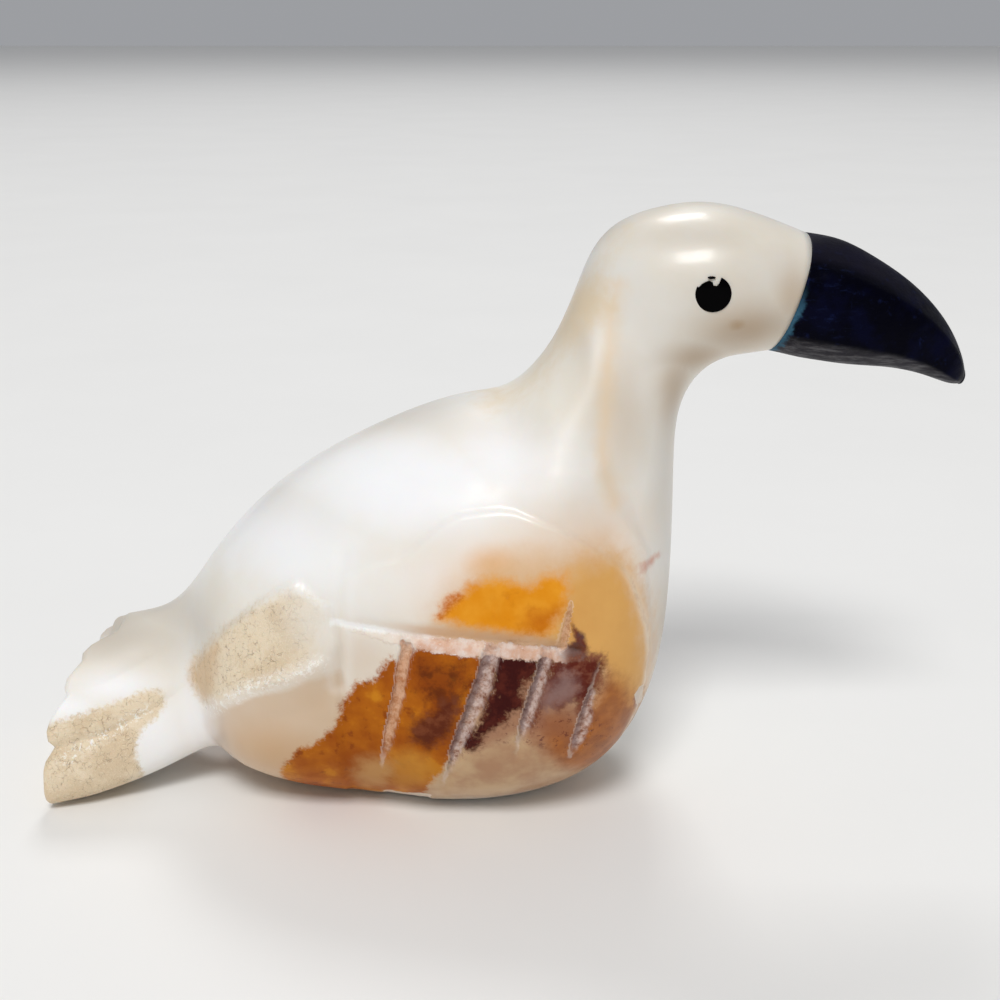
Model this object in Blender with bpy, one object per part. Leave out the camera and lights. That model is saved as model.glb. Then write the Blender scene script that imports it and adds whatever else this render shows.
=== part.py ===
"""Carved stone toucan sitting on its belly, with a beak and two eyes of darker stone let into it.

Metres, +Z up. The bird looks along +X. The ground is z = 0, and the origin is the middle of the
bird's length and width on the ground. Its right side is -Y, and its left side mirrors that.
The body is a loft of rounded sections that fan around the nape. Its pose and its carving are
hundredths of LENGTH. The beak's reach, the bores, cuts, fits and gaps are sizes of their own.
"""
import math

import bmesh
import bpy
import numpy as np
from mathutils import Vector
from mathutils.bvhtree import BVHTree

# The length that the carving is drawn to: with its beak the figure is this long
LENGTH = 0.100
PERCENT = LENGTH / 100.0

# Beak ahead of its seat, and its joint with the head
BEAK_REACH = 0.0179
BEAK_GAP = 0.0003

# Inlaid eyes
EYE_DIAMETER = 0.0036
EYE_THICKNESS = 0.0014
EYE_PROUD = 0.0001
EYE_DOME = 0.0003
EYE_CLEARANCE = 0.0003

# Saw cuts in each wing, the groove that they start from, and the notch above it
CUT_WIDTH = 0.0016
CUT_DEPTH = 0.0009
GROOVE_WIDTH = 0.0013
GROOVE_DEPTH = 0.0009
NOTCH_WIDTH = 0.0024

# Tail feathers across the tail, their scalloped ends and the flutes between them
FEATHERS = 7
SCALLOP = 0.0009
FLUTE_DEPTH = 0.0008
FLUTE_LENGTH = 0.0135

# Fineness of the solids
BODY_RINGS = 62
BODY_POINTS = 60
BEAK_RINGS = 14
BEAK_POINTS = 36
EYE_POINTS = 28
GROOVE_STATIONS = 9

# From here to the cuts, places and heights are in hundredths of the length.
# Sections of the body from the tail end to the beak seat: their place on the back, their place
# on the belly, half width, squareness (2 is an ellipse), and how far up they are widest.
BODY_SECTIONS = (
    # back x, back z, belly x, belly z, half width, squareness, widest
    (-44.6, 17.9, -49.0, 0.2, 11.2, 2.5, 0.13),
    (-41.0, 18.8, -43.0, 1.2, 9.4, 2.4, 0.16),
    (-37.2, 20.2, -36.4, 3.1, 7.4, 2.3, 0.24),
    (-34.0, 23.4, -31.6, 4.4, 7.4, 2.3, 0.36),
    (-30.6, 28.0, -27.6, 2.2, 11.2, 2.3, 0.46),
    (-23.6, 34.8, -20.2, 0.0, 13.8, 2.3, 0.49),
    (-14.0, 40.4, -10.6, -1.4, 15.6, 2.3, 0.50),
    (-5.2, 43.8, -1.5, -1.4, 15.8, 2.3, 0.50),
    (0.4, 45.0, 7.5, 1.0, 15.6, 2.3, 0.49),
    (3.8, 47.6, 14.3, 7.3, 14.9, 2.4, 0.48),
    (5.9, 50.8, 17.7, 15.7, 13.0, 2.3, 0.48),
    (7.4, 54.2, 18.7, 26.5, 11.0, 2.2, 0.48),
    (8.5, 57.2, 18.8, 36.0, 9.0, 2.1, 0.50),
    (9.9, 60.2, 19.1, 42.8, 8.6, 2.1, 0.50),
    (12.7, 62.9, 21.0, 47.0, 9.3, 2.1, 0.50),
    (17.6, 64.5, 23.6, 48.8, 9.7, 2.1, 0.50),
    (23.8, 64.5, 25.9, 49.2, 9.2, 2.1, 0.52),
    (31.9, 61.7, 28.3, 49.4, 7.3, 2.1, 0.56),
)
# Sections of the beak ahead of its seat. Their x is a share of the beak's reach.
BEAK_SECTIONS = (
    # upper x, upper z, lower x, lower z, half width, squareness, widest
    (0.20, 61.0, 0.04, 48.8, 7.0, 2.3, 0.46),
    (0.40, 59.3, 0.27, 48.3, 6.5, 2.4, 0.38),
    (0.62, 56.7, 0.48, 48.0, 5.6, 2.4, 0.34),
    (0.81, 53.4, 0.69, 47.2, 4.4, 2.4, 0.34),
    (0.93, 50.1, 0.86, 46.1, 3.2, 2.3, 0.40),
    (0.985, 47.4, 0.955, 45.7, 1.3, 2.0, 0.50),
)
TAIL_END_ROUND = 1.6
EYE_PLACE = (21.1, 57.0)

# Raised forms of the folded wing, seen from the side: centre x and z, reach along x and z,
# where their edge begins and ends as shares of that reach, and how far they stand out.
WING = (1.0, 24.0, 14.2, 17.6, 0.86, 1.08, 1.2)
WING_SQUARENESS = 2.5
WING_FADE = (-12.0, 3.0)
PLATE = (0.5, 25.0, 10.0, 11.8, 0.78, 1.14, 0.7)
LOBE = (-22.5, 16.5, 9.5, 13.5, 0.50, 1.05, 0.9)

# Groove, notch and saw cuts in the wing
GROOVE_BACK = (-15.6, 25.2)
GROOVE_FRONT = (8.9, 21.8)
NOTCH_TIP = (7.0, 27.6)
NOTCH_FOOT = (6.9, 21.4)
CUTS = (
    # top, bottom, width as a share of the cut's width
    ((-9.2, 23.4), (-12.6, 6.8), 1.0),
    ((-1.0, 22.8), (-5.4, 6.3), 1.3),
    ((4.9, 22.3), (1.4, 8.8), 1.1),
    ((9.5, 20.6), (7.3, 8.4), 0.8),
)
# How much of the groove's and the cuts' depth is left at their shallow ends
GROOVE_SHALLOW = 0.25
CUT_SHALLOW = 0.2
# How far the cutters reach out of the surface, in depths
CUTTER_REACH = 5.0


def smooth_curve(rows, shares):
    """Natural cubic through rows of values, read at shares of its length from 0 to 1."""
    rows = np.asarray(rows, float)
    count = len(rows)
    system = np.eye(count)
    right = np.zeros_like(rows)
    for row in range(1, count - 1):
        system[row, row - 1:row + 2] = (1.0, 4.0, 1.0)
        right[row] = 6.0 * (rows[row - 1] - 2.0 * rows[row] + rows[row + 1])
    bends = np.linalg.solve(system, right)
    places = np.asarray(shares) * (count - 1)
    low = np.minimum(places.astype(int), count - 2)
    after = (places - low)[:, None]
    before = 1.0 - after
    return (before * rows[low] + after * rows[low + 1]
            + (before ** 3 - before) * bends[low] / 6.0
            + (after ** 3 - after) * bends[low + 1] / 6.0)


def even_shares(rows, count):
    """Shares at which sections read from the curve stand about evenly along the figure."""
    fine = np.linspace(0.0, 1.0, 400)
    moves = np.diff(smooth_curve(rows, fine)[:, :4], axis=0)
    lengths = np.hypot(moves[:, 0], moves[:, 1]) + np.hypot(moves[:, 2], moves[:, 3])
    travelled = np.concatenate(([0.0], np.cumsum(lengths)))
    return np.interp(np.linspace(0.0, travelled[-1], count), travelled, fine)


def step(value, start, end):
    """Smooth step from 0 at start to 1 at end."""
    share = np.clip((value - start) / (end - start), 0.0, 1.0)
    return share * share * (3.0 - 2.0 * share)


def section(row, count):
    """One rounded section: x, z, y, its sideways share from -1 to 1, and its height share."""
    back, belly = row[0:2], row[2:4]
    half_width, squareness, widest = row[4:7]
    turn = np.arange(count) / count * 2.0 * math.pi
    up = np.abs(np.cos(turn)) ** (2.0 / squareness) * np.sign(np.cos(turn))
    side = np.abs(np.sin(turn)) ** (2.0 / squareness) * np.sign(np.sin(turn))
    height = (0.5 + 0.5 * up) ** (math.log(widest) / math.log(0.5))
    places = belly + np.outer(height, back - belly)
    return places[:, 0], places[:, 1], half_width * side, side, height


def raised(x, z, form, squareness=2.0):
    """How far a raised form stands out at x and z."""
    middle_x, middle_z, reach_x, reach_z, edge_start, edge_end, height = form
    across = np.abs((x - middle_x) / reach_x) ** squareness
    upward = np.abs((z - middle_z) / reach_z) ** squareness
    return height * (1.0 - step((across + upward) ** (1.0 / squareness), edge_start, edge_end))


def wing_relief(x, z):
    """How far the folded wing stands out of the plain body, seen from the side."""
    wing = raised(x, z, WING, WING_SQUARENESS) * step(x, *WING_FADE)
    return wing + raised(x, z, PLATE) + raised(x, z, LOBE)


def body_surface(rings, points):
    """Rings of points on the carved body, from the tail end to the beak seat."""
    rows = smooth_curve(BODY_SECTIONS, even_shares(BODY_SECTIONS, rings))
    tail_end = min(rows[0][0], rows[0][2])
    surface = np.zeros((rings, points, 3))
    for ring, row in enumerate(rows):
        x, z, y, side, height = section(row, points)
        # The relief fades out toward the midline of the back and of the belly
        flank = np.clip(1.4 * side, -1.0, 1.0)
        y = y + flank * wing_relief(x, z)
        # Feathers: flutes that fade toward the tail's root, and a rounded, scalloped end
        fade = 1.0 - step((x - tail_end) * PERCENT, 0.0, FLUTE_LENGTH)
        crest = np.abs(np.cos(0.5 * math.pi * FEATHERS * (1.0 - height)))
        y = y - side * fade * (1.0 - crest) * FLUTE_DEPTH / PERCENT
        if ring == 0:
            x = x - TAIL_END_ROUND * 4.0 * height * (1.0 - height)
            x = x - crest * SCALLOP / PERCENT
        surface[ring] = np.stack((x, y, z), axis=1)
    return surface * PERCENT


def beak_surface(rings, points):
    """Rings of points on the beak, from its seat to its tip."""
    seat = np.array(BODY_SECTIONS[-1])
    seat[:5] *= PERCENT
    rows = [seat]
    for shares in np.array(BEAK_SECTIONS):
        row = shares.copy()
        row[:5] *= PERCENT
        row[0] = seat[0] + shares[0] * BEAK_REACH
        row[2] = seat[0] + shares[2] * BEAK_REACH
        rows.append(row)
    surface = np.zeros((rings, points, 3))
    for ring, row in enumerate(smooth_curve(rows, even_shares(rows, rings))):
        x, z, y, _, _ = section(row, points)
        surface[ring] = np.stack((x, y, z), axis=1)
    seat_rise = Vector((seat[0] - seat[2], 0.0, seat[1] - seat[3])).normalized()
    return surface + BEAK_GAP * np.array((seat_rise.z, 0.0, -seat_rise.x))


def new_object(name, points, faces):
    """Object made of points and faces, with its faces turned outward."""
    shape = bmesh.new()
    made = [shape.verts.new(point) for point in points]
    for face in faces:
        shape.faces.new([made[corner] for corner in face])
    bmesh.ops.recalc_face_normals(shape, faces=shape.faces)
    mesh = bpy.data.meshes.new(name)
    shape.to_mesh(mesh)
    shape.free()
    thing = bpy.data.objects.new(name, mesh)
    bpy.context.scene.collection.objects.link(thing)
    return thing


def skin(name, surface):
    """Closed solid over rings of points, with flat ends."""
    rings, points = surface.shape[:2]
    faces = [tuple(range(points)), tuple(range((rings - 1) * points, rings * points))]
    for ring in range(rings - 1):
        low = ring * points
        for point in range(points):
            after = (point + 1) % points
            faces.append((low + point, low + after, low + points + after, low + points + point))
    return new_object(name, surface.reshape(-1, 3), faces)


def turned(name, centre, side, profile):
    """Solid turned about the Y axis through centre, from (radius, outward) rows."""
    rings = []
    for radius, outward in profile:
        for point in range(EYE_POINTS):
            turn = 2.0 * math.pi * point / EYE_POINTS
            across = Vector((math.cos(turn), 0.0, math.sin(turn))) * radius
            rings.append(centre + across + Vector((0.0, side * outward, 0.0)))
    return skin(name, np.array(rings).reshape(len(profile), EYE_POINTS, 3))


def stone(name, colour, roughness):
    """Polished stone."""
    material = bpy.data.materials.new(name)
    material.use_nodes = True
    shader = material.node_tree.nodes["Principled BSDF"]
    shader.inputs["Base Color"].default_value = (*colour, 1.0)
    shader.inputs["Roughness"].default_value = roughness
    shader.inputs["Metallic"].default_value = 0.0
    return material


def finish(thing, material):
    """Give a piece its material and round shading."""
    thing.data.materials.append(material)
    thing.data.shade_smooth()
    thing.data.set_sharp_from_angle(angle=math.radians(40.0))


def carve(target, cutter):
    """Take the cutter's shape out of the target."""
    cutter.hide_render = True
    cutter.display_type = 'WIRE'
    cut = target.modifiers.new(cutter.name, 'BOOLEAN')
    cut.operation = 'DIFFERENCE'
    cut.solver = 'EXACT'
    cut.object = cutter


def surface_point(tree, place, side):
    """Where the body's side surface is, at a place in hundredths of the length."""
    start = Vector((place[0] * PERCENT, side * LENGTH, place[1] * PERCENT))
    return tree.ray_cast(start, Vector((0.0, -side, 0.0)))[0]


def saw_cut(name, top, bottom, side, width):
    """Straight cut between two surface points, steep at its back and sloping ahead."""
    outward = Vector((0.0, side, 0.0))
    ahead = Vector((width, 0.0, 0.0))
    corners = []
    for point, deep in ((top, CUT_DEPTH), (bottom, CUT_SHALLOW * CUT_DEPTH)):
        floor = point - outward * deep
        mouth = point + outward * CUTTER_REACH * CUT_DEPTH
        corners += [floor - 0.35 * ahead, floor + 0.15 * ahead]
        corners += [mouth + 2.2 * ahead, mouth - 0.95 * ahead]
    sides = [(edge, (edge + 1) % 4, (edge + 1) % 4 + 4, edge + 4) for edge in range(4)]
    return new_object(name, corners, [(0, 1, 2, 3), (4, 5, 6, 7), *sides])


def groove_cut(name, tree, side):
    """Groove that follows the wing's surface and deepens toward its front end."""
    outward = Vector((0.0, side, 0.0))
    upward = Vector((0.0, 0.0, GROOVE_WIDTH))
    back, front = Vector(GROOVE_BACK), Vector(GROOVE_FRONT)
    corners = []
    for share in np.linspace(0.0, 1.0, GROOVE_STATIONS):
        point = surface_point(tree, back.lerp(front, share), side)
        deep = GROOVE_DEPTH * (GROOVE_SHALLOW + (1.0 - GROOVE_SHALLOW) * share)
        floor = point - outward * deep
        mouth = point + outward * CUTTER_REACH * deep
        corners += [floor + 0.15 * upward, floor - 0.35 * upward]
        corners += [mouth - 2.0 * upward, mouth + 1.2 * upward]
    return skin(name, np.array(corners).reshape(GROOVE_STATIONS, 4, 3))


def notch_cut(name, tree, side):
    """Notch that opens downward into the front end of the groove."""
    foot = surface_point(tree, NOTCH_FOOT, side)
    inward = Vector((0.0, -side * GROOVE_DEPTH, 0.0))
    tip = surface_point(tree, NOTCH_TIP, side) - 0.2 * inward
    mouth = foot - inward * CUTTER_REACH
    # The notch is as wide as its name says where its sides pass the surface
    spread = Vector((0.5 * NOTCH_WIDTH * (CUTTER_REACH + 1.0), 0.0, 0.0))
    corners = [tip, tip - inward * CUTTER_REACH, foot + inward, mouth + spread, mouth - spread]
    faces = ((0, 1, 3, 2), (0, 2, 4, 1), (1, 4, 3), (2, 3, 4))
    return new_object(name, corners, faces)


def ground_cut():
    """Block under the ground that cuts the belly's flat base."""
    reach = LENGTH
    deep = 5.0 * PERCENT
    corners = [(x, y, z) for z in (-deep, 0.0) for x in (-reach, reach) for y in (-reach, reach)]
    faces = ((0, 1, 3, 2), (4, 5, 7, 6), (0, 1, 5, 4), (2, 3, 7, 6), (0, 2, 6, 4), (1, 3, 7, 5))
    return new_object("ground_cut", corners, faces)


def make_eye(body, tree, side, name, material):
    """Drill the socket and seat a domed disc in it, a hair proud of the head."""
    centre = surface_point(tree, EYE_PLACE, side)
    radius = EYE_DIAMETER / 2.0
    bore = radius + EYE_CLEARANCE
    floor = EYE_THICKNESS + EYE_CLEARANCE - EYE_PROUD
    socket = turned(f"socket_{name}", centre, side, ((bore, -floor), (bore, EYE_THICKNESS)))
    carve(body, socket)
    rim = EYE_PROUD - EYE_DOME
    profile = [(radius, EYE_PROUD - EYE_THICKNESS), (radius, rim)]
    for turn in (math.radians(40.0), math.radians(72.0)):
        profile.append((radius * math.cos(turn), rim + EYE_DOME * math.sin(turn)))
    finish(turned(name, centre, side, profile), material)


for old in list(bpy.data.objects):
    bpy.data.objects.remove(old)

body = skin("body", body_surface(BODY_RINGS, BODY_POINTS))
finish(body, stone("pale_onyx", (0.80, 0.76, 0.66), 0.25))
plain_body = BVHTree.FromObject(body, bpy.context.evaluated_depsgraph_get())
beak = skin("beak", beak_surface(BEAK_RINGS, BEAK_POINTS))
finish(beak, stone("navy_stone", (0.010, 0.014, 0.045), 0.30))
black_stone = stone("black_inlay", (0.004, 0.004, 0.005), 0.12)
for side, label in ((-1, "right"), (1, "left")):
    make_eye(body, plain_body, side, f"eye_{label}", black_stone)
    carve(body, groove_cut(f"groove_{label}", plain_body, side))
    carve(body, notch_cut(f"notch_{label}", plain_body, side))
    for number, (top, bottom, share) in enumerate(CUTS, 1):
        ends = [surface_point(plain_body, place, side) for place in (top, bottom)]
        carve(body, saw_cut(f"cut_{label}_{number}", *ends, side, CUT_WIDTH * share))
carve(body, ground_cut())
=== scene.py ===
"""Looks of the carved stone toucan: the fine carving and the stone around its solids.

Shapes are in millimetres until a mesh is made. +X runs from the tail to the beak, +Z up, and the
right side, which faces the camera, is -Y. The colours of the right side run through the stone and
come out on the left side a little farther back and lower.
"""

import math

import bpy
import numpy as np
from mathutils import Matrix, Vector, noise


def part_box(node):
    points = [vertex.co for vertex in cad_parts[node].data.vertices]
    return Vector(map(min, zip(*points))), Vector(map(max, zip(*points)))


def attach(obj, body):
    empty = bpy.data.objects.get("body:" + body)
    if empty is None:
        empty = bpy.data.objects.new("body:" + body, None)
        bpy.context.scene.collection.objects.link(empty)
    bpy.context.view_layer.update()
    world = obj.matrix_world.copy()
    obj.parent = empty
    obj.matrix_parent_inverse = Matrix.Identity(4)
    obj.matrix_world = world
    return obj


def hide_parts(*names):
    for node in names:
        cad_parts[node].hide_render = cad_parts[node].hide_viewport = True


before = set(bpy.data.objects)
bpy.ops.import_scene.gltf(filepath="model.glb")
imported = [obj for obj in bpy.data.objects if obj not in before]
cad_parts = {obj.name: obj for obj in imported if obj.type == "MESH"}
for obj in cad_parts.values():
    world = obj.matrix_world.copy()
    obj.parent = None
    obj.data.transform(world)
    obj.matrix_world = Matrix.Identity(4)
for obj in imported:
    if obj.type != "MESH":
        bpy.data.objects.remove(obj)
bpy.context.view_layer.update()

MM = 0.001

# The solids' sections: place on the back and on the belly, half width, squareness, and how far up
# they are widest
BODY_SECTIONS = (
    (-44.6, 17.9, -49, 0.2, 11.2, 2.5, 0.13),
    (-41, 18.8, -43, 1.2, 9.4, 2.4, 0.16),
    (-37.2, 20.2, -36.4, 3.1, 7.4, 2.3, 0.24),
    (-34, 23.4, -31.6, 4.4, 7.4, 2.3, 0.36),
    (-30.6, 28, -27.6, 2.2, 11.2, 2.3, 0.46),
    (-23.6, 34.8, -20.2, 0, 13.8, 2.3, 0.49),
    (-14, 40.4, -10.6, -1.4, 15.6, 2.3, 0.5),
    (-5.2, 43.8, -1.5, -1.4, 15.8, 2.3, 0.5),
    (0.4, 45, 7.5, 1, 15.6, 2.3, 0.49),
    (3.8, 47.6, 14.3, 7.3, 14.9, 2.4, 0.48),
    (5.9, 50.8, 17.7, 15.7, 13, 2.3, 0.48),
    (7.4, 54.2, 18.7, 26.5, 11, 2.2, 0.48),
    (8.5, 57.2, 18.8, 36, 9, 2.1, 0.5),
    (9.9, 60.2, 19.1, 42.8, 8.6, 2.1, 0.5),
    (12.7, 62.9, 21, 47, 9.3, 2.1, 0.5),
    (17.6, 64.5, 23.6, 48.8, 9.7, 2.1, 0.5),
    (23.8, 64.5, 25.9, 49.2, 9.2, 2.1, 0.52),
    (31.9, 61.7, 28.3, 49.4, 7.3, 2.1, 0.56),
)
BEAK_SECTIONS = (
    (0.2, 61, 0.04, 48.8, 7, 2.3, 0.46),
    (0.4, 59.3, 0.27, 48.3, 6.5, 2.4, 0.38),
    (0.62, 56.7, 0.48, 48, 5.6, 2.4, 0.34),
    (0.81, 53.4, 0.69, 47.2, 4.4, 2.4, 0.34),
    (0.93, 50.1, 0.86, 46.1, 3.2, 2.3, 0.4),
    (0.985, 47.4, 0.955, 45.7, 1.3, 2, 0.5),
)
BEAK_REACH = 17.9
BEAK_TIP = 0.45
# How strongly the beak's facets replace its round sections
BEAK_FACET = 0.55

# Fineness of the meshes
BODY_RINGS = 306
BODY_POINTS = 300
TAIL_RIM_RINGS = 5
TAIL_CAP_RINGS = 7
BEAK_RINGS = 150
BEAK_POINTS = 180
BEAK_TIP_RINGS = 5
EYE_RINGS = 44
EYE_POINTS = 128

# Flutes of the tail: shares of the fan from its top edge down, and waves of the flutes up to there
FEATHER_EDGES = (0.0, 0.115, 0.295, 0.615, 1.0)
FEATHER_WAVES = (0.05, 0.5, 1.5, 2.5, 3.2)
FLUTE_DEPTH = 1.1
FLUTE_LENGTH = 19.0
# End of the tail: shares of its height, and how far its edge moves along x there
TAIL_EDGE = (
    (0, -0.9), (0.05, -1.4), (0.1, -1.7), (0.15, -1.9), (0.2, -2.1), (0.25, -2.3), (0.3, -2.3),
    (0.345, -1.9), (0.385, -1.6), (0.43, -2.5), (0.5, -2.9), (0.57, -2.8), (0.64, -2.2), (0.705, -1.5),
    (0.75, -2), (0.8, -2), (0.85, -1.3), (0.885, -0.8), (0.92, -1), (0.95, -0.4), (0.975, 0.8),
    (1, 2.5),
)
# How far the top of the edge moves forward on the left side
TAIL_LEFT_TOP = 1.4
# Radius of the rounded rim
TAIL_RIM = 0.6

# How far the colours lie farther back and lower on the left side
LEFT_BACK = 7.0
LEFT_WAVE = 2.5
LEFT_DOWN = 3.0

# How far the carved forms stand out, sink in and reach
SHOULDER_STEP = 0.45
SHOULDER_ROUND = 0.45
SHOULDER_LIP = 0.25
PLATE_STEP = 0.42
PLATE_ROUND = 0.55
LOBE_STEP = 0.60
LOBE_ROUND = 0.45
RIDGE_HEIGHT = 1.0
RIDGE_REACH = 4.6
CREASE_DEPTH = 0.26
CREASE_REACH = 1.6
GHOST_DEPTH = 0.14
GHOST_REACH = 0.45
CHIP_LOW_DEPTH = 0.45
CHIP_FRONT_DEPTH = 0.35
SAW_MARKS = 0.05
BACK_FULLNESS = 1.2
# Depth from which a cut or the groove has its full colour
FULL_COLOUR_DEPTH = 0.6

# Eyes: rise of the dome, stand above the solid's face, thickness and depth of the chip
EYE_DOME = 0.2
EYE_PROUD = 0.05
EYE_THICKNESS = 1.2
EYE_CHIP_DEPTH = 0.75

# Outlines of the carved forms on the flank, as x and z
SHOULDER = (
    (-16, 41), (1.1, 41.3), (5.6, 41.3), (10, 40.6), (10.7, 40), (11.2, 38.5), (11.9, 37.1),
    (13, 35.4), (13.9, 33.6), (14.7, 32), (15.5, 30.6), (15.3, 28.6), (15.6, 25.4), (16.2, 21.8),
    (16.4, 18), (16, 14), (14.9, 10), (12.5, 5.5), (9, 0.5), (4, -5), (-16, -7),
)
PLATE = (
    (-16, 29), (-12.5, 30.6), (-10.1, 31.2), (-8.1, 33), (-6.9, 34.1), (-5.5, 35.1),
    (-4, 35.8), (-2, 36.2), (0, 36.4), (1.5, 36.3), (3.5, 35.6), (6, 34.6), (9, 32.7),
    (11.1, 31.3), (12.4, 30.1), (13.5, 28.4), (14.4, 25.8), (15.3, 23.1), (15.8, 19.7),
    (15.5, 15.7), (14.7, 12.1), (13.3, 8.4), (10.8, 4.7), (6, 0), (2, -5), (-14, -7),
    (-17, 0), (-16.7, 15.2), (-16.4, 21.4),
)
LOBE = (
    (-21, 28.5), (-24.9, 25.8), (-28.9, 22), (-31.7, 18.9), (-33.1, 15.9), (-33.1, 13.6),
    (-32.2, 11.3), (-32.4, 9.4), (-31.8, 7.1), (-30.3, 4.6), (-27, 0), (-22, -5),
    (-16.6, -6), (-16.6, 15), (-16.3, 22), (-17.5, 26),
)
RIDGE = ((-32.3, 11), (-29.1, 14.4), (-26.2, 16.6), (-22.5, 18.2), (-18.5, 20.2))
CREASE = ((-15.7, 31), (-16.1, 26.5), (-16.4, 21.4), (-16.6, 17.5))

# Groove across the wing: x, its upper lip, its valley, its lower lip and its depth
GROOVE = (
    (-17.4, 24.6, 23.9, 23.6, 0),
    (-14.3, 25.3, 23.7, 23.1, 0.35),
    (-10.2, 25.4, 23.3, 22.4, 0.6),
    (-6.1, 25.3, 23.2, 22, 0.8),
    (-2, 25, 22.9, 21.5, 0.9),
    (2, 24.6, 22.5, 21.3, 0.95),
    (5.1, 24, 22.1, 21, 0.95),
    (7.9, 23.2, 21.8, 20.9, 0.95),
    (9, 22.3, 21.7, 21.2, 0),
)
# Saw cuts: the line of each cut's floor, half widths behind and ahead of it, and depths, from the
# top down
CUTS = (
    ((-9.4, 22.6, 0.75, 0.8, 0.75), (-10, 19.3, 0.7, 0.75, 0.75), (-10.6, 16, 0.65, 0.7, 0.65),
     (-11.4, 12.6, 0.6, 0.65, 0.5), (-12.2, 8.4, 0.5, 0.55, 0.2), (-12.8, 5.6, 0.3, 0.3, 0)),
    ((-0.6, 22.4, 0.9, 1, 1.05), (-1.7, 19.2, 0.8, 1.45, 1.1), (-2.6, 16.5, 0.7, 1.55, 1.05),
     (-3.8, 13.3, 0.6, 1.45, 0.85), (-4.8, 10, 0.5, 1, 0.6), (-5.6, 6.4, 0.45, 0.9, 0.35),
     (-6.3, 3, 0.4, 0.6, 0)),
    ((5, 22.2, 0.75, 0.8, 1), (4.2, 19.4, 0.65, 0.95, 1), (3.2, 16.2, 0.6, 0.95, 0.85),
     (2.4, 13.2, 0.5, 0.95, 0.6), (1.9, 10.4, 0.4, 0.8, 0.25), (1.6, 8, 0.3, 0.4, 0)),
    ((10.2, 20.6, 0.25, 0.4, 0.2), (9.8, 18.6, 0.4, 0.55, 0.45), (9.1, 16, 0.5, 0.8, 0.5),
     (8.7, 14.2, 0.55, 1.2, 0.6), (8.2, 11.4, 0.7, 1.1, 0.5), (7.5, 8.2, 0.45, 0.6, 0)),
)
CUT_STEEPNESS = 0.35
CUT_WARMTH = (1.0, 0.0, 0.1, 0.2)
# Heights between which each cut's rough colour fades out
CUT_FADES = ((5.5, 12), (4, 12), (9.5, 16), (18, 15.8))
NOTCH = ((7.2, 27.7, 0.05, 0), (6.9, 25.2, 0.6, 0.55), (6.6, 21.8, 1.2, 0.95))
GHOST = ((-0.7, 27.6), (-0.4, 26.1), (-0.1, 24.8))
# Chips in the lower edge, in the front edge of the wing, and in the rim of the right eye
CHIP_LOW = (
    (-13, 1.8), (-12, 2.5), (-10.4, 2.2), (-8.6, 2.8), (-7.4, 2.6), (-7.6, -1), (-13.4, -1),
)
CHIP_FRONT = ((14.1, 15.2), (14.7, 15.9), (15.3, 15.6), (15.5, 12.3), (14.5, 12.9))
EYE_CHIP = (
    (-1.62, 0.86), (-1.45, 1.3), (-1.1, 1.7), (-0.4, 2), (0.3, 2.05), (0.72, 1.75), (0.66, 1.4),
    (0.5, 1.05), (0.28, 0.84), (-0.02, 0.88), (-0.12, 1.2), (-0.45, 1.36), (-0.8, 1.24), (-1.15, 1.06),
    (-1.46, 0.74),
)

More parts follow.
